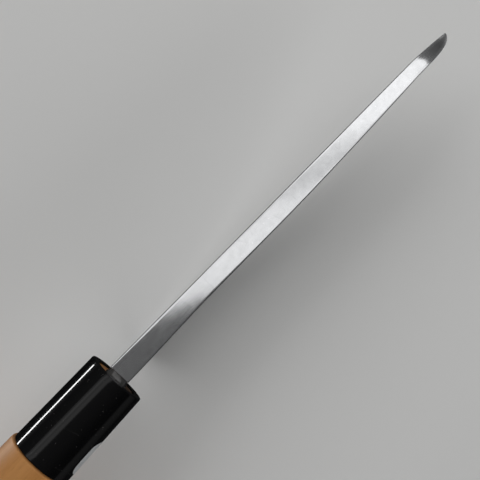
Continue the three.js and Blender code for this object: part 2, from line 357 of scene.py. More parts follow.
class BladeForm:
    """The blade's outside as a function of the distance x and of a place s round the section."""

    def __init__(self, sizes):
        self.sizes = sizes
        self.neck_x = FACE_X + sizes.neck_start
        self.spine_z = BODY_HIGH.z
        self.heel_z = EDGE_LOW.z
        self.tip_z = self.spine_z - sizes.tip_drop

    def spine(self, x):
        """Height of the spine: level, then falling to the point along a power curve."""
        start = TIP_X - self.sizes.drop_length
        fall = np.clip((x - start) / self.sizes.drop_length, 0.0, 1.0)
        return self.spine_z - self.sizes.tip_drop * fall**self.sizes.drop_power

    def edge(self, x):
        """Height of the edge: a straight rise with a cubic belly towards the point."""
        u = np.clip((x - HEEL_X) / (TIP_X - HEEL_X), 0.0, 1.0)
        straight = self.sizes.edge_straightness
        return mix(self.heel_z, self.tip_z, straight * u + (1.0 - straight) * u**3)

    def left(self, x):
        """The flat side, turned a little, and leaning in at the point along a power curve."""
        sizes = self.sizes
        lean = np.clip((x - TIP_X + sizes.lean_length) / sizes.lean_length, 0.0, 1.0)
        straight = BODY_HIGH.y - (x - self.neck_x) * math.tan(sizes.side_turn)
        return straight - sizes.point_lean * lean**LEAN_POWER

    def thickness(self, x):
        """Neck swell, long taper, and a closing like the root of one minus a cube at the point."""
        sizes = self.sizes
        distance = x - FACE_X
        swell = sizes.neck_swell * (1.0 - smooth(0.0, sizes.swell_length, distance))
        along = (distance - sizes.taper_from) / (sizes.taper_to - sizes.taper_from)
        taper = sizes.taper_loss * np.maximum(0.0, along) ** TAPER_POWER
        closing = np.clip((x - TIP_X + sizes.point_length) / sizes.point_length, 0.0, 1.0)
        full = (sizes.spine_thickness + swell - taper) * np.sqrt(1.0 - closing**3)
        return np.maximum(sizes.point_thickness, full)

    def ridge(self, x):
        """Height of the bevel's top line, an even share of the way from the edge to the spine."""
        return mix(self.edge(x), self.spine(x), self.sizes.bevel_share)

    def corner(self, x):
        """Radius of the spine's eased corners, and less where the blade is thin or low."""
        height = self.spine(x) - self.edge(x)
        limit = np.minimum(CORNER_OF_THICKNESS * self.thickness(x), CORNER_OF_HEIGHT * height)
        return np.minimum(self.sizes.corner, limit)

    def fine_start(self, x):
        """Height and thickness where the fine bevel starts, on a plane bevel that thins evenly."""
        bevel = self.ridge(x) - self.edge(x)
        rise = np.minimum(self.sizes.fine_bevel, FINE_OF_BEVEL * bevel)
        foot = BEVEL_FOOT * self.sizes.edge_land
        return self.edge(x) + rise, mix(foot, self.thickness(x), rise / np.maximum(bevel, WELD))

    def hollow(self, x, s):
        """Share of the hollow's depth: a dish with a flat rim, on the left side only. It is one
        minus a cube across the side and minus an eighth power along the blade."""
        along = np.clip((x - HEEL_X) / (TIP_X - HEEL_X), 0.0, 1.0)
        along = (along - DISH_ALONG) / DISH_LENGTH
        across = (s - DISH_MIDDLE) / DISH_REACH
        return np.clip(1.0 - np.abs(across) ** 3 - np.abs(along) ** 8, 0.0, 1.0)

    def skin(self, x, s):
        """Point on the outside. s is 0 at the edge, 1 at the top of the left side, 2 and 3 on
        either side of the spine's flat, 4 under the right corner, 5 at the ridge, 6 where the
        fine bevel starts and 7 at the edge again. Each stretch adds its own move, so the
        point is the sum of the moves of the stretches already passed."""
        x, s = np.broadcast_arrays(x, s)
        part = [np.clip(s - k, 0.0, 1.0) for k in range(int(WHOLE))]
        left, thick, corner = self.left(x), self.thickness(x), self.corner(x)
        top, edge, ridge = self.spine(x), self.edge(x), self.ridge(x)
        fine_z, fine_width = self.fine_start(x)
        bend_in = part[LEFT_CORNER] * math.pi / 2
        bend_out = part[RIGHT_CORNER] * math.pi / 2
        rise = (top - corner - edge) * part[LEFT] + corner * np.sin(bend_in)
        rise = rise - corner * (1.0 - np.cos(bend_out)) - (top - corner - ridge) * part[RIGHT]
        rise = rise - (ridge - fine_z) * part[BEVEL] - (fine_z - edge) * part[FINE]
        rounding = smooth(TIP_X - ROUNDING_START, TIP_X - ROUNDING_END, x)
        height = thick * mix(self.sizes.crown, self.sizes.point_crown, rounding)
        crown = height * (4.0 * part[TOP] * (1.0 - part[TOP]) - 1.0)
        crown = crown * np.clip(s - 1.0, 0.0, 1.0) * np.clip(4.0 - s, 0.0, 1.0)
        inward = corner * (1.0 - np.cos(bend_in)) + (thick - 2.0 * corner) * part[TOP]
        inward = inward + corner * np.sin(bend_out) - (thick - fine_width) * part[BEVEL]
        inward = inward - (fine_width - self.sizes.edge_land) * part[FINE]
        dish = self.sizes.hollow * self.hollow(x, s)
        return np.stack([x, left - inward - dish, edge + rise + crown], axis=-1)

    def layer_top(self, x):
        """Place s of the hard layer's top line: it slants up at the heel, runs along the left
        side and crosses the spine just before the point."""
        slant = np.clip((x - HEEL_X) / self.sizes.layer_corner, 0.0, 1.0)
        level = mix(HEEL_LAYER_SHARE, self.sizes.layer_share, slant)
        level = mix(level, 1.0, smooth(TIP_X - LAYER_RISE, TIP_X - CROSSING, x))
        return level + (RIDGE - 1.0) * smooth(TIP_X - CROSSING, TIP_X - POINT_ZONE, x)

    def layer_depth(self, x):
        """Thickness of the hard layer: even or a share of a thin blade, and all of it at the
        point."""
        thick = self.thickness(x)
        plain = np.minimum(self.sizes.layer, LAYER_OF_THICKNESS * thick)
        return mix(plain, thick, smooth(TIP_X - CROSSING, TIP_X - POINT_ZONE, x))

    def layer_bottom(self, x):
        """Place s where the hard layer comes out on the bevel, as a wavering line. It rises to
        the ridge before the point."""
        fine_width = self.fine_start(x)[1]
        thick = self.thickness(x)
        waver = 1.0 + sum(size * np.sin(x * rate + start) for size, rate, start in WAVES)
        gap = (thick - waver * self.layer_depth(x)) / np.maximum(thick - fine_width, WELD)
        fade = 1.0 - smooth(TIP_X - BOTTOM_RISE, TIP_X - POINT_ZONE, x)
        return RIDGE + np.clip(gap, 0.0, BOTTOM_LIMIT) * fade

    def join(self, x, low, high):
        """Points of the surface where layer and body are welded: from place high on the bevel
        straight to the layer's inner top corner. Near the point the corner slides outwards."""
        outer_top = self.skin(x, low)
        inner_top = outer_top.copy()
        inner_top[..., 1] = self.left(x) - self.layer_depth(x)
        slide = smooth(TIP_X - SLIDE_START, TIP_X - CROSSING, x)[..., None]
        inner_top = mix(inner_top, outer_top, slide)
        steps = np.linspace(0.0, 1.0, JOIN_STEPS + 1)[1:, None, None]
        return mix(self.skin(x, high)[None], inner_top[None], steps)

    def place_at_height(self, x, z, right):
        """Place s on the left or the right face at height z."""
        top = self.spine(x) - self.corner(x)
        if right:
            return RIGHT + (top - z) / (top - self.ridge(x))
        return (z - self.edge(x)) / (top - self.edge(x))

    def underside(self, x):
        """Height of the neck's underside, with a round fillet down to the heel."""
        radius = self.sizes.heel_fillet
        run_in = np.clip(x - (HEEL_X - radius), 0.0, radius)
        return -self.sizes.neck_underside - (radius - np.sqrt(radius**2 - run_in**2))

    def rows(self):
        """Places s of the grid's rows. One lies on each side where the neck meets the heel."""
        heel = np.array([HEEL_X])
        neck_z = self.underside(heel)
        left = float(self.place_at_height(heel, neck_z, right=False)[0])
        right = float(self.place_at_height(heel, neck_z, right=True)[0])
        stops = (0.0, 16, left, 10, 1.0, 6, 2.0, 14, 3.0, 6, 4.0, 6, right, 5, 5.0, 10, 6.0, 2, 7.0)
        return run(*stops)

    def blade_stations(self):
        """Distances x from the heel to the point, closer together where the shape turns."""
        corner_end = HEEL_X + self.sizes.layer_corner
        closing = TIP_X - self.sizes.drop_length
        even = run(HEEL_X, 12, corner_end, 96, closing)
        ease = 1.0 - (1.0 - np.linspace(0.0, 1.0, 90)) ** EASE_POWER
        return np.concatenate([even[:-1], mix(closing, TIP_X - POINT_MARGIN, ease)])

    def marked(self, points, x, s):
        """Points with two marks: height share above the edge, and the hollow's share."""
        height = np.maximum(self.spine(x) - self.edge(x), WELD)
        lift = (points[..., 2] - self.edge(x)) / height
        hollow = np.broadcast_to(self.hollow(x, s), lift.shape)
        return np.concatenate([points, lift[..., None], hollow[..., None]], axis=-1)


def tang_halves(sizes):
    """Half width and half height of the tang at its back end and at the neck."""
    back = np.array([sizes.tang_back, sizes.tang_back_height])
    front = np.array([sizes.tang_front, sizes.tang_front_height])
    return back, front


def neck_patches(form):
    """The tang and the neck: one section carried along x, and squeezed into the tang's bar."""
    sizes = form.sizes
    x = run(form.neck_x, 10, HEEL_X - sizes.heel_fillet, 14, HEEL_X)[None]
    low = form.place_at_height(x, form.underside(x), right=False)
    high = form.place_at_height(x, form.underside(x), right=True)
    places = np.clip(form.rows()[:, None], low, high)
    side = form.skin(x, places)
    across = np.linspace(0.0, 1.0, JOIN_STEPS + 1)[1:-1, None, None]
    bottom = mix(form.skin(x, high), form.skin(x, low), across)
    neck = looped(np.concatenate([side, bottom]))
    neck = form.marked(neck, x, INSIDE)
    first = neck[:, :1]
    lower, upper = first[..., 1:3].min(axis=0), first[..., 1:3].max(axis=0)
    unit = 2.0 * (first[..., 1:3] - lower) / (upper - lower) - 1.0
    tang_x = np.array([form.neck_x, mix(form.neck_x, BODY_LOW.x, 0.5), BODY_LOW.x])
    along = (tang_x - BODY_LOW.x) / (form.neck_x - BODY_LOW.x)
    halves = mix(*tang_halves(sizes), along[:, None])
    tang = np.repeat(first, 3, axis=1)
    tang[..., 0] = tang_x
    tang[..., 1:3] = unit * halves + (0.0, TANG_LIFT)
    return [np.concatenate([tang[:, ::-1], neck], axis=1)]


def body_patches(form):
    """The outer steel: the skin between the layer's two lines, closed by the weld surface."""
    x = form.blade_stations()
    x = np.append(x[x < TIP_X - POINT_ZONE], TIP_X - POINT_ZONE)[None]
    low, high = form.layer_top(x), form.layer_bottom(x)
    places = np.clip(form.rows()[:, None], low, high)
    side = form.marked(form.skin(x, places), x, places)
    weld = form.marked(form.join(x[0], low[0], high[0]), x, INSIDE)
    return [looped(np.concatenate([side, weld]))]


def layer_patches(form):
    """The hard steel: the rest of the skin, closed by the same weld surface."""
    x = form.blade_stations()[None]
    gap = LINE_GAP * (1.0 - smooth(TIP_X - LAYER_OPENING, TIP_X - LAYER_RISE, x))
    low = form.layer_top(x) - gap
    high = form.layer_bottom(x) + gap
    rows = form.rows()
    left_places = np.minimum(rows[rows <= RIDGE][:, None], low)
    right_places = np.maximum(rows[rows >= RIDGE][:, None], high)
    inside = form.join(x[0], low[0], high[0])[::-1]
    inside[..., 1] += GAP_DEPTH * gap
    left = form.marked(form.skin(x, left_places), x, left_places)
    weld = form.marked(inside, x, INSIDE)
    right = form.marked(form.skin(x, right_places), x, right_places)
    grid = looped(np.concatenate([left, weld, right]))
    point = grid[:, -1:].copy()
    point[..., 0] = TIP_X
    point[..., 1:] = grid[:, -1:, 1:].mean(axis=0)
    return [np.concatenate([grid, point], axis=1)]


# ---- handle --------------------------------------------------------------------------------

TURNS = 224
BAR_POWER = 16.0  # a superellipse that is nearly a rectangle
SLOT_WALL = 0.001  # the tang's slot is this much wider all round
SLOT_DEPTH = 0.003  # and this much deeper than the tang is long
REAR_ROUND = 0.0002  # radius of the collar's back edge
TENON_EASE = 0.0002  # bevel of the tenon's end
BEAD_POWER = 4.0
BEAD_INSET = 0.0001  # the bead ends just inside the neck's outline
BEAD_GAPS = 2.5  # room round the tang inside the bead, in joint gaps
MARK_TURNS = 96
MARK_RINGS = 12


def oval_tube(profile, power):
    """A profile carried round an oval. Each profile row is x, half width, half height, and
    optionally its own power; at angle a the point is half width times the power-rounded cosine
    of a across, and half height times the power-rounded sine upwards."""
    profile = np.asarray(profile, float)
    angle = np.linspace(0.0, 2.0 * math.pi, TURNS + 1)[None]
    powers = profile[:, 3:4] if profile.shape[1] > 3 else np.full((len(profile), 1), power)
    across = rounded(np.cos(angle), 2.0 / powers)
    upward = rounded(np.sin(angle), 2.0 / powers)
    x = np.broadcast_to(profile[:, :1], across.shape)
    return np.stack([x, profile[:, 1:2] * across, profile[:, 2:3] * upward], axis=-1)


def quarter(steps=8):
    """Sine and one minus cosine over a quarter turn."""
    angle = np.linspace(0.0, math.pi / 2, steps + 1)
    return np.sin(angle), 1.0 - np.cos(angle)


def collar_halves(sizes, x):
    """Half width and half height of the collar's outside, each on a straight taper."""
    along = (x - SHOULDER_X) / (FACE_X - SHOULDER_X)
    half_width = mix(COLLAR_HIGH.y, sizes.collar_front_width, along)
    return half_width, mix(COLLAR_HIGH.z, sizes.collar_front_height, along)


def collar_patches(sizes):
    """A tube with a tapered outside, round front edges and an oval bore. Its profile runs from
    the back edge along the outside, over the rim and the lip, and back through the bore."""
    bore = np.array([sizes.bore_width, sizes.bore_height])

    def outside(x, inset):
        """The outside's profile, moved inwards by the inset."""
        half = np.column_stack(collar_halves(sizes, x))
        return np.column_stack([x, half - inset[:, None]])

    def inside(x, inset):
        """The bore's profile, moved outwards by the inset."""
        return np.column_stack([x, bore + inset[:, None]])

    reach, drop = quarter()
    rear = outside(SHOULDER_X + REAR_ROUND * drop, REAR_ROUND * (1.0 - reach))
    side_x = run(SHOULDER_X + REAR_ROUND, 20, FACE_X - sizes.rim_round)[1:-1]
    side = outside(side_x, np.zeros(side_x.size))
    rim = outside(FACE_X - sizes.rim_round * (1.0 - reach), sizes.rim_round * drop)
    lip = inside(FACE_X - sizes.lip_round * drop, sizes.lip_round * (1.0 - reach))
    bore_x = run(FACE_X - sizes.lip_round, 8, SHOULDER_X)[1:]
    channel = inside(bore_x, np.zeros(bore_x.size))
    return [looped(oval_tube(np.concatenate([rear, side, rim, lip, channel]), sizes.oval_power))]


def grip_patches(sizes, blade):
    """From the middle of the butt outwards, along the grip, down its shoulder, along the tenon,
    and back through the tang's slot to its closed end."""
    power = sizes.oval_power
    back = np.array([GRIP_HIGH.y, GRIP_HIGH.z])
    front = np.array([sizes.grip_front_width, sizes.grip_front_height])
    tenon = np.array([sizes.bore_width, sizes.bore_height]) - sizes.joint_gap
    end_x = SHOULDER_X - sizes.joint_gap
    reach, drop = quarter()

    def ring(x, half, ring_power=power):
        """One row of the profile."""
        return [x, *half, ring_power]

    def side(x, inset):
        """A row on the grip's straight taper, moved inwards by the inset."""
        half = mix(back, front, x / end_x)
        return ring(x, half - inset)

    rows = [ring(GRIP_LOW.x, 0.0 * back)]
    rows += [ring(GRIP_LOW.x, back * part) for part in (0.3, 0.6, 0.8)]
    rows += [
        side(sizes.butt_round * d, sizes.butt_round * (1.0 - r)) for r, d in zip(reach, drop)
    ]
    rows += [side(x, 0.0) for x in run(sizes.butt_round, 40, end_x - sizes.shoulder_round)[1:-1]]
    rows += [
        side(end_x - sizes.shoulder_round * (1.0 - r), sizes.shoulder_round * d)
        for r, d in zip(reach, drop)
    ]
    rows += [ring(end_x, tenon), ring(GRIP_HIGH.x - TENON_EASE, tenon)]
    rows += [ring(GRIP_HIGH.x, tenon - TENON_EASE)]
    slot_back, slot_front = (half + SLOT_WALL for half in tang_halves(blade))
    rows += [ring(GRIP_HIGH.x, slot_front, BAR_POWER)]
    rows += [ring(BODY_LOW.x - SLOT_DEPTH, slot_back, BAR_POWER)]
    rows += [ring(BODY_LOW.x - SLOT_DEPTH, 0.0 * slot_back, BAR_POWER)]
    return [oval_tube(rows, power)]


def seal_patches(sizes, form):
    """A bead whose outside sweeps in like a quarter circle from the tenon's end to the neck."""
    reach, drop = quarter(12)
    back = np.array([sizes.bead_width, sizes.bead_height])
    front = np.array([0.5 * form.thickness(form.neck_x), form.spine_z - TANG_LIFT]) - BEAD_INSET
    end = form.neck_x
    outer = [[mix(BEAD_X, end, d), *mix(back, front, r), BEAD_POWER] for r, d in zip(reach, drop)]
    inner_half = tang_halves(form.sizes)[1] + BEAD_GAPS * sizes.joint_gap
    inner = [[end, *inner_half, BAR_POWER], [BEAD_X, *inner_half, BAR_POWER]]
    return [looped(oval_tube(outer + inner, BEAD_POWER))]


def mark_patches(sizes):
    """A disc squared by a superellipse, laid on the collar's right side, with a thin rim."""
    centre = 0.5 * (MARK_LOW + MARK_HIGH)
    half_length = 0.5 * (MARK_HIGH.x - MARK_LOW.x)
    half_height = 0.5 * (MARK_HIGH.z - MARK_LOW.z)
    angle = np.linspace(0.0, 2.0 * math.pi, MARK_TURNS + 1)[None]
    radius = np.concatenate([run(0.0, MARK_RINGS, 1.0), run(1.0, MARK_RINGS, 0.0)])[:, None]
    lift = np.repeat([sizes.mark_proud, 0.0], MARK_RINGS + 1)[:, None]
    exponent = 2.0 / sizes.mark_corner
    x = centre.x + half_length * radius * rounded(np.cos(angle), exponent)
    z = centre.z + half_height * radius * rounded(np.sin(angle), exponent)
    half_across, half_up = collar_halves(sizes, x)
    power = sizes.oval_power
    y = -half_across * (1.0 - np.abs(z / half_up) ** power) ** (1.0 / power) - lift
    return [np.stack([x, y, z], axis=-1)]


# ---- finishes ------------------------------------------------------------------------------

HAIRS_PER_METRE = 90.0
DUST = (0.9, 0.9, 0.9, 1.0)
SPINE_LIFT = (0.985, 0.998)  # height shares between which the sides turn into the spine
SIDE_METAL = 0.72  # the misty sides scatter a part of the light
POINT_GRIND = (0.030, 0.014)  # distances from the point over which the steel gets duller
MOUTH_END = (0.004, 0.002)  # distances behind the collar's face where the bare wood fades in
SHADE_EDGE = (-0.003, -0.001)  # soft edge of the painted shade on the right of the tenon's end, across it


class Sheet:
    """Adds nodes to one tree, so that a finish reads as a list of steps."""

    def __init__(self, tree):
        self.tree = tree

    def add(self, kind, inputs=None, **settings):
        """A node with its settings, then its inputs by name, as numbers or as linked outputs."""
        node = self.tree.nodes.new("ShaderNode" + kind)
        for name, value in settings.items():
            setattr(node, name, value)
        for name, value in (inputs or {}).items():
            if isinstance(value, bpy.types.NodeSocket):
                self.tree.links.new(value, node.inputs[name])
            else:
                node.inputs[name].default_value = value
        return node

    def use(self, group, **inputs):
        """The outputs of a node group, whose inputs are named with _ for a blank."""
        given = {label.replace("_", " "): value for label, value in inputs.items()}
        return self.add("Group", given, node_tree=group).outputs

    def math(self, operation, a, b=0.0, clamp=False):
        node = self.add("Math", {0: a, 1: b}, operation=operation, use_clamp=clamp)
        return node.outputs[0]

    def spread(self, value, low, high, to_low=0.0, to_high=1.0):
        """value from the range low..high to the range to_low..to_high."""
        inputs = {"Value": value, "From Min": low, "From Max": high}
        inputs.update({"To Min": to_low, "To Max": to_high})
        return self.add("MapRange", inputs).outputs["Result"]

    def between(self, share, a, b):
        """a where the share is 0, and b where it is 1."""
        return self.spread(share, 0.0, 1.0, a, b)

    def gain(self, base, value, factor, clamp=False):
        """base plus factor times value."""
        return self.math("ADD", base, self.math("MULTIPLY", value, factor), clamp)

    def blend(self, factor, a, b):
        return self.add("Mix", {0: factor, 6: a, 7: b}, data_type="RGBA").outputs[2]

    def tint(self, tone, mask, strength, colour_value):
        """tone, turned towards the colour by strength times the mask."""
        return self.blend(self.math("MULTIPLY", mask, strength), tone, colour_value)

    def noise(self, vector, scale, detail=2.0, roughness=0.5):
        inputs = {"Vector": vector, "Scale": scale, "Detail": detail, "Roughness": roughness}
        return self.add("TexNoise", inputs).outputs["Fac"]

    def cells(self, vector, scale, **settings):
        """Distance to the nearest of scattered points, or to the edge between two of them."""
        inputs = {"Vector": vector, "Scale": scale}
        return self.add("TexVoronoi", inputs, **settings).outputs["Distance"]

    def stretched(self, vector, scale):
        return self.add("Mapping", {"Vector": vector, "Scale": scale}).outputs["Vector"]

    def bump(self, height, strength, distance, normal=None):
        inputs = {"Height": height, "Strength": strength, "Distance": distance}
        if normal is not None:
            inputs["Normal"] = normal
        return self.add("Bump", inputs).outputs["Normal"]

    def place(self):
        """Object coordinates, in metres."""
        return self.add("TexCoord").outputs["Object"]

    def mark(self, name):
        """A number that the mesh carries at each of its points."""
        return self.add("Attribute", attribute_name=name).outputs["Fac"]


def effect_group(name, inputs, outputs, make):
    """A shader node group, built once. make(sheet, inputs) returns its outputs by name."""
    if name in bpy.data.node_groups:
        return bpy.data.node_groups[name]
    group = bpy.data.node_groups.new(name, "ShaderNodeTree")
    for label, default in inputs.items():
        kind = "NodeSocketVector" if default is None else "NodeSocketFloat"
        socket = group.interface.new_socket(label, in_out="INPUT", socket_type=kind)
        if default is not None:
            socket.default_value = default
    for label in outputs:
        group.interface.new_socket(label, in_out="OUTPUT", socket_type="NodeSocketFloat")
    sheet = Sheet(group)
    entry = group.nodes.new("NodeGroupInput")
    leave = group.nodes.new("NodeGroupOutput")
    for label, value in make(sheet, entry.outputs).items():
        group.links.new(value, leave.inputs[label])
    return group


def lengthwise_lines():
    """A group: fine lines along the knife, and broad bands between them, both from 0 to 1."""

    def make(sheet, given):
        squeeze = sheet.add("CombineXYZ", {0: given["Stretch"], 1: 1.0, 2: 1.0}).outputs[0]
        drawn = sheet.add("VectorMath", {0: given["Place"], 1: squeeze}, operation="MULTIPLY")
        fine = sheet.noise(drawn.outputs[0], given["Lines per metre"], 3.0, 0.65)
        broad_scale = sheet.math("MULTIPLY", given["Lines per metre"], 0.08)
        broad = sheet.noise(drawn.outputs[0], broad_scale, 2.0)
        return {
            "Lines": sheet.spread(fine, 0.3, 0.7),
            "Bands": sheet.spread(broad, 0.35, 0.65),
        }

    inputs = {"Place": None, "Lines per metre": 4000.0, "Stretch": 0.02}
    return effect_group("lengthwise lines", inputs, ("Lines", "Bands"), make)


def handling_marks():
    """A group: soft smudges, sparse hair scratches and dust specks, each from 0 to 1."""

    def make(sheet, given):
        place = given["Place"]
        soft = sheet.noise(place, given["Smudges per metre"], 3.0, 0.6)
        drawn = sheet.add("VectorMath", {0: place, 1: (1.0, 0.35, 0.6)}, operation="MULTIPLY")
        hair = sheet.cells(drawn.outputs[0], HAIRS_PER_METRE, feature="DISTANCE_TO_EDGE")
        patchy = sheet.spread(sheet.noise(place, 260.0, 1.0), 0.55, 0.68)
        thin = sheet.spread(hair, 0.0, 0.02, 1.0, 0.0)
        speck = sheet.cells(place, 1400.0)
        rare = sheet.spread(sheet.noise(place, 900.0, 0.0), 0.64, 0.7)
        return {
            "Smudges": sheet.spread(soft, 0.42, 0.68),
            "Hairs": sheet.math("MULTIPLY", thin, patchy),
            "Specks": sheet.math("MULTIPLY", sheet.spread(speck, 0.1, 0.16, 1.0, 0.0), rare),
        }

    inputs = {"Place": None, "Smudges per metre": 60.0}
    return effect_group("handling marks", inputs, ("Smudges", "Hairs", "Specks"), make)


def finish(name, **shader_values):
    """A new material with a Principled shader whose even values are set on its own sockets."""
    material = bpy.data.materials.new(name)
    material.use_nodes = True
    shader = material.node_tree.nodes["Principled BSDF"]
    for label, value in shader_values.items():
        shader.inputs[label.replace("_", " ")].default_value = value
    return material, Sheet(material.node_tree), shader


def feed(sheet, shader, **outputs):
    """Links outputs to the shader's sockets, which are named with _ for a blank."""
    for label, value in outputs.items():
        sheet.tree.links.new(value, shader.inputs[label.replace("_", " ")])


def rgba(value, factor=1.0):
    """A colour times a factor, with full alpha."""
    return (*(channel * factor for channel in value), 1.0)


def steel_finish(name, spine_colour, side_colour, roughness, lines_per_metre, haze):
    """Ground steel: fine lengthwise lines, a cloudy haze, smudges and hair scratches. The spine
    and the sides have their own colours, and the point is duller from its own grind."""
    material, sheet, shader = finish(name)
    place = sheet.place()
    lines = sheet.use(lengthwise_lines(), Place=place, Lines_per_metre=lines_per_metre,
                      Stretch=0.03)
    marks = sheet.use(handling_marks(), Place=place, Smudges_per_metre=75.0)
    cloud = sheet.spread(sheet.noise(place, 420.0, 4.0, 0.6), 0.35, 0.65)
    on_spine = sheet.spread(sheet.mark("lift"), *SPINE_LIFT)
    tone = sheet.blend(on_spine, rgba(side_colour), rgba(spine_colour))
    shade = sheet.between(cloud, 1.0 - haze, 1.0 + haze)
    tone = sheet.add("VectorMath", {0: tone, 3: shade}, operation="SCALE").outputs[0]
    tone = sheet.tint(tone, marks["Hairs"], 0.25, rgba(spine_colour, 0.6))
    tone = sheet.tint(tone, marks["Specks"], 0.6, DUST)
    gloss = sheet.between(lines["Lines"], roughness - 0.015, roughness + 0.02)
    gloss = sheet.gain(gloss, marks["Smudges"], 0.012)
    gloss = sheet.gain(gloss, cloud, haze * 0.25)
    gloss = sheet.gain(gloss, sheet.mark("hollow"), 0.10)
    along = sheet.add("SeparateXYZ", {0: place}).outputs["X"]
    at_point = sheet.spread(along, TIP_X - POINT_GRIND[0], TIP_X - POINT_GRIND[1])
    gloss = sheet.gain(gloss, at_point, 0.10, clamp=True)
    normal = sheet.bump(lines["Lines"], 0.05, 0.00001)
    normal = sheet.bump(marks["Hairs"], 0.08, 0.00001, normal)
    metal = sheet.between(on_spine, SIDE_METAL, 1.0)
    feed(sheet, shader, Base_Color=tone, Metallic=metal, Roughness=gloss, Normal=normal)
    return material


def collar_finish(colours):
    """Polished black with faint turning streaks, smudges, hair scratches and dust."""
    material, sheet, shader = finish("black_collar", IOR=1.33)
    place = sheet.place()
    marks = sheet.use(handling_marks(), Place=place, Smudges_per_metre=110.0)
    lines = sheet.use(lengthwise_lines(), Place=place, Lines_per_metre=2600.0, Stretch=0.05)
    tone = sheet.tint(rgba(colours.collar), marks["Hairs"], 0.3, (0.02, 0.02, 0.02, 1.0))
    tone = sheet.tint(tone, marks["Specks"], 0.6, (0.16, 0.15, 0.14, 1.0))
    gloss = sheet.between(marks["Smudges"], 0.08, 0.10)
    gloss = sheet.gain(gloss, lines["Bands"], 0.03)
    gloss = sheet.gain(gloss, marks["Hairs"], 0.04, clamp=True)
    feed(sheet, shader, Base_Color=tone, Roughness=gloss)
    return material


def wood_finish(colours):
    """Straight-grained wood: growth bands, fine fibres, pores and soft smudges along the
    handle, darker end grain on the butt, and painted shade over the right of the tenon's end."""
    material, sheet, shader = finish("pale_wood", IOR=1.45)
    place = sheet.place()
    fibres = sheet.use(lengthwise_lines(), Place=place, Lines_per_metre=1900.0, Stretch=0.022)
    marks = sheet.use(handling_marks(), Place=place, Smudges_per_metre=45.0)
    bowed = sheet.stretched(place, (1.6, 60.0, 34.0))
    wave = {"Vector": bowed, "Scale": 1.1, "Distortion": 5.0, "Detail": 3.0, "Detail Scale": 1.3}
    growth = sheet.add("TexWave", wave, bands_direction="Z").outputs["Fac"]
    pores = sheet.noise(sheet.stretched(place, (0.12, 1.0, 1.0)), 3600.0, 1.0)
    pores = sheet.spread(pores, 0.62, 0.72)
    figure = sheet.gain(sheet.math("MULTIPLY", growth, 0.40), fibres["Lines"], 0.22)
    figure = sheet.gain(figure, fibres["Bands"], 0.45, clamp=True)
    tone = sheet.blend(figure, rgba(colours.wood_light), rgba(colours.wood_dark))
    tone = sheet.tint(tone, pores, 0.28, rgba(colours.wood_dark, 0.6))
    facing = sheet.add("NewGeometry").outputs["Normal"]
    facing_along = sheet.add("SeparateXYZ", {0: facing}).outputs["X"]
    end_grain = sheet.spread(sheet.math("ABSOLUTE", facing_along), 0.55, 0.95)
    where = sheet.add("SeparateXYZ", {0: place}).outputs
    at_mouth = sheet.spread(where["X"], FACE_X - MOUTH_END[0], FACE_X - MOUTH_END[1])
    darkening = sheet.math("MULTIPLY", end_grain, sheet.between(at_mouth, 0.8, 0.0))
    tone = sheet.blend(darkening, tone, rgba(colours.wood_dark, 0.62))
    # painted shade: the right of the tenon's end is darkened towards half the resin's colour,
    # standing in for the blade's shadow
    painted_shade = sheet.math("MULTIPLY", at_mouth, sheet.spread(where["Y"], *SHADE_EDGE, 0.97, 0.0))
    tone = sheet.blend(painted_shade, tone, rgba(colours.resin, 0.5))
    tone = sheet.tint(tone, marks["Smudges"], 0.16, rgba(colours.wood_dark))
    gloss = sheet.gain(sheet.between(figure, 0.50, 0.62), marks["Smudges"], -0.08, clamp=True)
    height = sheet.gain(fibres["Lines"], pores, -1.5)
    normal = sheet.bump(height, 0.25, 0.00004)
    feed(sheet, shader, Base_Color=tone, Roughness=gloss, Normal=normal)
    return material


def seal_finish(colours):
    """Dark glossy resin, uneven from being wiped round the neck."""
    material, sheet, shader = finish("seal_resin", IOR=1.54)
    swirl = sheet.noise(sheet.place(), 700.0, 3.0, 0.6)
    cloud = sheet.spread(swirl, 0.35, 0.65)
    tone = sheet.blend(cloud, rgba(colours.resin), rgba(colours.resin, 1.5))
    gloss = sheet.spread(swirl, 0.3, 0.7, 0.12, 0.26)
    normal = sheet.bump(swirl, 0.35, 0.0001)
    feed(sheet, shader, Base_Color=tone, Roughness=gloss, Normal=normal)
    return material


def bedding_finish():
    """Amber casting resin with cloudy streaks and small bubbles."""
    material, sheet, shader = finish("bedding_resin", IOR=1.54)
    place = sheet.place()
    cloud = sheet.spread(sheet.noise(place, 380.0, 3.0), 0.35, 0.65)
    bubble = sheet.spread(sheet.cells(place, 1300.0), 0.12, 0.2, 1.0, 0.0)
    tone = sheet.blend(cloud, (0.21, 0.115, 0.04, 1.0), (0.32, 0.2, 0.085, 1.0))
    tone = sheet.tint(tone, bubble, 0.5, (0.5, 0.38, 0.22, 1.0))
    gloss = sheet.between(cloud, 0.25, 0.4)
    feed(sheet, shader, Base_Color=tone, Roughness=gloss, Normal=sheet.bump(bubble, 0.3, 0.0001))
    return material


def mark_finish(colours):
    """Plain grey panel: slightly cloudy, and worn in specks."""
    material, sheet, shader = finish("grey_panel", IOR=1.45)
    marks = sheet.use(handling_marks(), Place=sheet.place(), Smudges_per_metre=300.0)
    tone = sheet.blend(marks["Smudges"], rgba(colours.mark), rgba(colours.mark, 0.82))
    tone = sheet.tint(tone, marks["Specks"], 0.3, rgba(colours.mark, 0.3))
    feed(sheet, shader, Base_Color=tone, Roughness=sheet.between(marks["Smudges"], 0.38, 0.5))
    return material


def floor_finish(colours):
    """Matt pale floor with the faintest mottling."""
    material, sheet, shader = finish("studio_floor", Specular_IOR_Level=0.0)
    cloud = sheet.noise(sheet.place(), 9.0, 3.0)
    tone = sheet.blend(cloud, rgba(colours.floor, 0.985), rgba(colours.floor, 1.015))
    feed(sheet, shader, Base_Color=tone, Roughness=sheet.spread(cloud, 0.3, 0.7, 0.8, 0.9))
    return material


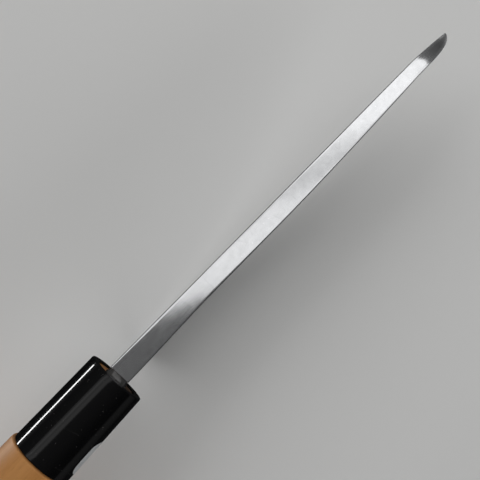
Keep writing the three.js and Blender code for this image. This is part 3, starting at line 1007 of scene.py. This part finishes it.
# ---- studio --------------------------------------------------------------------------------

FLOOR_REACH = 1.8
FLOOR_QUADS = 8
ROOM_TOP = (0.33, 0.35, 0.82)  # towards the brightest part of the room
ROOM_EVEN = 0.12  # share of the room's brightness on every side
ROOM_DARK = 0.07  # the least share
GROUND_FADE = (-0.65, -0.20)  # upward parts of a direction between which the ground brightens
HORIZON_FADE = (-0.06, 0.0)  # and between which it ends
PANELS = (  # across from and to, along from and to, and the share of the full brightness
    (0.000, 0.108, -0.70, 0.76, 0.80),
    (0.108, 0.148, -0.70, 0.76, 0.54),
    (0.148, 0.172, -0.70, 0.76, 0.70),
    (0.172, 0.250, -0.70, 0.76, 1.00),
    (0.250, 0.330, -0.70, 0.10, 0.50),
    (0.250, 0.534, 0.10, 0.76, 1.00),
)
FILL_X = 0.10
FILL_SIZE = (2.7, 1.8)
LEFT_FILL_PLACE = (2.25, 1.95)  # sideways and upwards
RIGHT_FILL_PLACE = (-2.40, 0.66)
STRIP_PLACE = (0.0895, 0.088, FLOOR_Z + 0.0115)
STRIP_TOWARD = (0.0, -1.0, 0.2)
STRIP_SIZE = (0.059, 0.009)


def add_panel(name, centre, toward, along, size, brightness):
    """A rectangular soft light at centre. Its face looks along toward, and its length lies
    along the given direction. Its power is pi times its area times its brightness."""
    light = bpy.data.lights.new(name, "AREA")
    light.shape = "RECTANGLE"
    light.size, light.size_y = size
    light.energy = math.pi * size[0] * size[1] * brightness
    panel = bpy.data.objects.new(name, light)
    bpy.context.scene.collection.objects.link(panel)
    back = -Vector(toward).normalized()
    length_axis = Vector(along)
    length_axis = (length_axis - back * length_axis.dot(back)).normalized()
    width_axis = back.cross(length_axis)
    turned = Matrix((length_axis, width_axis, back)).transposed()
    panel.matrix_world = Matrix.Translation(Vector(centre)) @ turned.to_4x4()
    panel.visible_camera = False
    return panel


def add_camera(studio):
    """A camera over the collar that looks down and a little forward."""
    data = bpy.data.cameras.new("camera")
    data.lens = studio.lens
    data.sensor_width = 36.0
    data.clip_start = 0.01
    camera = bpy.data.objects.new("camera", data)
    bpy.context.scene.collection.objects.link(camera)
    tilt, lean = studio.camera_tilt, studio.camera_lean
    down = math.cos(tilt)
    forward = Vector((math.sin(tilt), down * math.sin(lean), -down * math.cos(lean))).normalized()
    along = Vector((1.0, 0.0, 0.0))
    along = (along - forward * along.dot(forward)).normalized()
    across = forward.cross(along)
    cosine, sine = math.cos(studio.knife_angle), math.sin(studio.knife_angle)
    right = along * cosine + across * sine
    up = along * sine - across * cosine
    turned = Matrix((right, up, -forward)).transposed()
    place = Vector((FACE_X + studio.camera_ahead, -studio.camera_right, studio.camera_height))
    camera.matrix_world = Matrix.Translation(place) @ turned.to_4x4()
    bpy.context.scene.camera = camera


def add_floor(colours):
    """A wide flat floor under the knife's lowest point. Polished faces don't mirror it: they
    mirror the dimmer ground of the room instead, so the black collar stays black."""
    steps = np.linspace(-FLOOR_REACH, FLOOR_REACH, FLOOR_QUADS + 1)
    x, y = np.meshgrid(steps, steps, indexing="ij")
    points = np.stack([x, y, np.full(x.shape, FLOOR_Z)], axis=-1).reshape(-1, 3)
    index = np.arange(x.size).reshape(x.shape)
    corners = (index[:-1, :-1], index[1:, :-1], index[1:, 1:], index[:-1, 1:])
    mesh = bpy.data.meshes.new("studio_floor")
    mesh.from_pydata(points.tolist(), [], np.stack(corners, axis=-1).reshape(-1, 4).tolist())
    mesh.materials.append(floor_finish(colours))
    floor = bpy.data.objects.new("studio_floor", mesh)
    bpy.context.scene.collection.objects.link(floor)
    floor.visible_glossy = False


def add_room(studio):
    """A dim room, brightest overhead, over a ground that is lit below the horizon and dark
    straight down. The camera itself sees an even pale backdrop instead."""
    world = bpy.data.worlds.new("room")
    world.use_nodes = True
    sheet = Sheet(world.node_tree)
    background = world.node_tree.nodes["Background"]
    background.inputs["Color"].default_value = (1.0, 1.0, 1.0, 1.0)
    direction = sheet.add("TexCoord").outputs["Generated"]
    toward = sheet.add("VectorMath", {0: direction, 1: ROOM_TOP}, operation="DOT_PRODUCT")
    room = sheet.math("ADD", toward.outputs["Value"], ROOM_EVEN)
    upward = sheet.add("SeparateXYZ", {0: direction}).outputs["Z"]
    ground = sheet.spread(upward, *GROUND_FADE, ROOM_DARK, studio.ground_share)
    ground = sheet.math("MULTIPLY", ground, sheet.spread(upward, *HORIZON_FADE, 1.0, 0.0))
    level = sheet.math("MAXIMUM", sheet.math("MAXIMUM", room, ground), ROOM_DARK)
    strength = sheet.math("MULTIPLY", level, studio.room_brightness)
    seen = sheet.add("LightPath").outputs["Is Camera Ray"]
    strength = sheet.between(seen, strength, studio.backdrop_brightness)
    world.node_tree.links.new(strength, background.inputs["Strength"])
    bpy.context.scene.world = world


def add_lights(studio):
    """Soft panels side by side over the blade and to its left, a wide fill on each side that
    doesn't show in reflections, and a thin low strip that shows only in them."""
    along = Vector((math.cos(studio.panel_turn), -math.sin(studio.panel_turn), 0.0))
    outward = Vector((-along.y, along.x, 0.0))
    start = Vector((studio.panel_start, 0.0, BODY_HIGH.z + studio.panel_height))
    for low, high, near, far, part in PANELS:
        centre = start + outward * 0.5 * (low + high) + along * 0.5 * (near + far)
        size = (far - near, high - low)
        add_panel("soft_panel", centre, (0, 0, -1), along, size, part * studio.panel_brightness)
    fills = ((LEFT_FILL_PLACE, studio.left_fill), (RIGHT_FILL_PLACE, studio.right_fill))
    lengthwise = (1.0, 0.0, 0.0)
    for (side, height), brightness in fills:
        toward = (0.0, -side, -height)
        fill = add_panel("soft_fill", (FILL_X, side, height), toward, lengthwise, FILL_SIZE,
                         brightness)
        fill.visible_glossy = False
    strip = add_panel("low_strip", STRIP_PLACE, STRIP_TOWARD, lengthwise, STRIP_SIZE,
                      studio.strip_brightness)
    strip.visible_diffuse = False


# ---- operators -----------------------------------------------------------------------------


def settings():
    """The knife's settings in the current scene."""
    return bpy.context.scene.boning_knife


class KNIFE_OT_blade_body(Operator):
    """Build the satin outer steel with its neck and tang"""

    bl_idname = "knife.blade_body"
    bl_label = "Outer Steel"
    bl_options = {"REGISTER", "UNDO"}

    def execute(self, context):
        form = BladeForm(settings().blade)
        patches = neck_patches(form) + body_patches(form)
        obj = piece_from_patches("outer_steel", patches, ("lift", "hollow"))
        colours = settings().colours
        material = steel_finish("satin_outer_steel", colours.iron, colours.iron_side,
                                roughness=0.09, lines_per_metre=5200.0, haze=0.04)
        place_piece(obj, "blade_body", material)
        return {"FINISHED"}


class KNIFE_OT_edge_steel(Operator):
    """Build the hard steel layer with the hollow, the bevel and the fine edge"""

    bl_idname = "knife.edge_steel"
    bl_label = "Hard Edge Steel"
    bl_options = {"REGISTER", "UNDO"}

    def execute(self, context):
        form = BladeForm(settings().blade)
        obj = piece_from_patches("hard_edge_steel", layer_patches(form), ("lift", "hollow"))
        colours = settings().colours
        material = steel_finish("bright_hard_steel", colours.iron, colours.edge,
                                roughness=0.09, lines_per_metre=7000.0, haze=0.015)
        place_piece(obj, "edge_steel", material)
        return {"FINISHED"}


class KNIFE_OT_collar(Operator):
    """Build the glossy black collar"""

    bl_idname = "knife.collar"
    bl_label = "Collar"
    bl_options = {"REGISTER", "UNDO"}

    def execute(self, context):
        obj = piece_from_patches("collar", collar_patches(settings().handle))
        place_piece(obj, "ferrule", collar_finish(settings().colours))
        return {"FINISHED"}


class KNIFE_OT_grip(Operator):
    """Build the wooden grip with its tenon and its slot"""

    bl_idname = "knife.grip"
    bl_label = "Wooden Grip"
    bl_options = {"REGISTER", "UNDO"}

    def execute(self, context):
        obj = piece_from_patches("wooden_grip", grip_patches(settings().handle, settings().blade))
        place_piece(obj, "handle_grip", wood_finish(settings().colours))
        return {"FINISHED"}


class KNIFE_OT_seal(Operator):
    """Build the bead of resin round the neck, and finish the resin in the slot"""

    bl_idname = "knife.seal"
    bl_label = "Resin"
    bl_options = {"REGISTER", "UNDO"}

    def execute(self, context):
        form = BladeForm(settings().blade)
        obj = piece_from_patches("neck_bead", seal_patches(settings().handle, form))
        place_piece(obj, "mouth_seal", seal_finish(settings().colours))
        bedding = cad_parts["tang_bedding"]
        bedding.data.materials.clear()
        bedding.data.materials.append(bedding_finish())
        return {"FINISHED"}


class KNIFE_OT_mark(Operator):
    """Build the plain grey panel on the collar"""

    bl_idname = "knife.mark"
    bl_label = "Plain Panel"
    bl_options = {"REGISTER", "UNDO"}

    def execute(self, context):
        obj = piece_from_patches("plain_panel", mark_patches(settings().handle))
        place_piece(obj, "ferrule_mark", mark_finish(settings().colours))
        return {"FINISHED"}


class KNIFE_OT_stage(Operator):
    """Build the floor, the room, the lights and the camera"""

    bl_idname = "knife.stage"
    bl_label = "Stage"
    bl_options = {"REGISTER", "UNDO"}

    def execute(self, context):
        add_floor(settings().colours)
        add_room(settings().studio)
        add_lights(settings().studio)
        add_camera(settings().studio)
        context.scene.view_settings.view_transform = "Standard"
        return {"FINISHED"}


OPERATORS = (
    KNIFE_OT_blade_body,
    KNIFE_OT_edge_steel,
    KNIFE_OT_collar,
    KNIFE_OT_grip,
    KNIFE_OT_seal,
    KNIFE_OT_mark,
    KNIFE_OT_stage,
)


class KNIFE_PT_panel(Panel):
    """Lists the knife's settings and its building steps"""

    bl_idname = "KNIFE_PT_panel"
    bl_label = "Boning Knife"
    bl_space_type = "VIEW_3D"
    bl_region_type = "UI"
    bl_category = "Knife"

    def draw(self, context):
        knife = context.scene.boning_knife
        for group in (knife.blade, knife.handle, knife.colours, knife.studio):
            box = self.layout.box()
            box.label(text=group.bl_rna.name)
            for name in group.__annotations__:
                box.prop(group, name)
        for operator in OPERATORS:
            self.layout.operator(operator.bl_idname)


CLASSES = (
    BladeSizes,
    HandleSizes,
    KnifeColours,
    StudioSettings,
    KnifeSettings,
    *OPERATORS,
    KNIFE_PT_panel,
)


def register():
    for cls in CLASSES:
        bpy.utils.register_class(cls)
    bpy.types.Scene.boning_knife = PointerProperty(type=KnifeSettings)


def unregister():
    del bpy.types.Scene.boning_knife
    for cls in reversed(CLASSES):
        bpy.utils.unregister_class(cls)


def main():
    register()
    bpy.ops.knife.blade_body()
    bpy.ops.knife.edge_steel()
    bpy.ops.knife.collar()
    bpy.ops.knife.grip()
    bpy.ops.knife.seal()
    bpy.ops.knife.mark()
    bpy.ops.knife.stage()


if __name__ == "__main__":
    main()
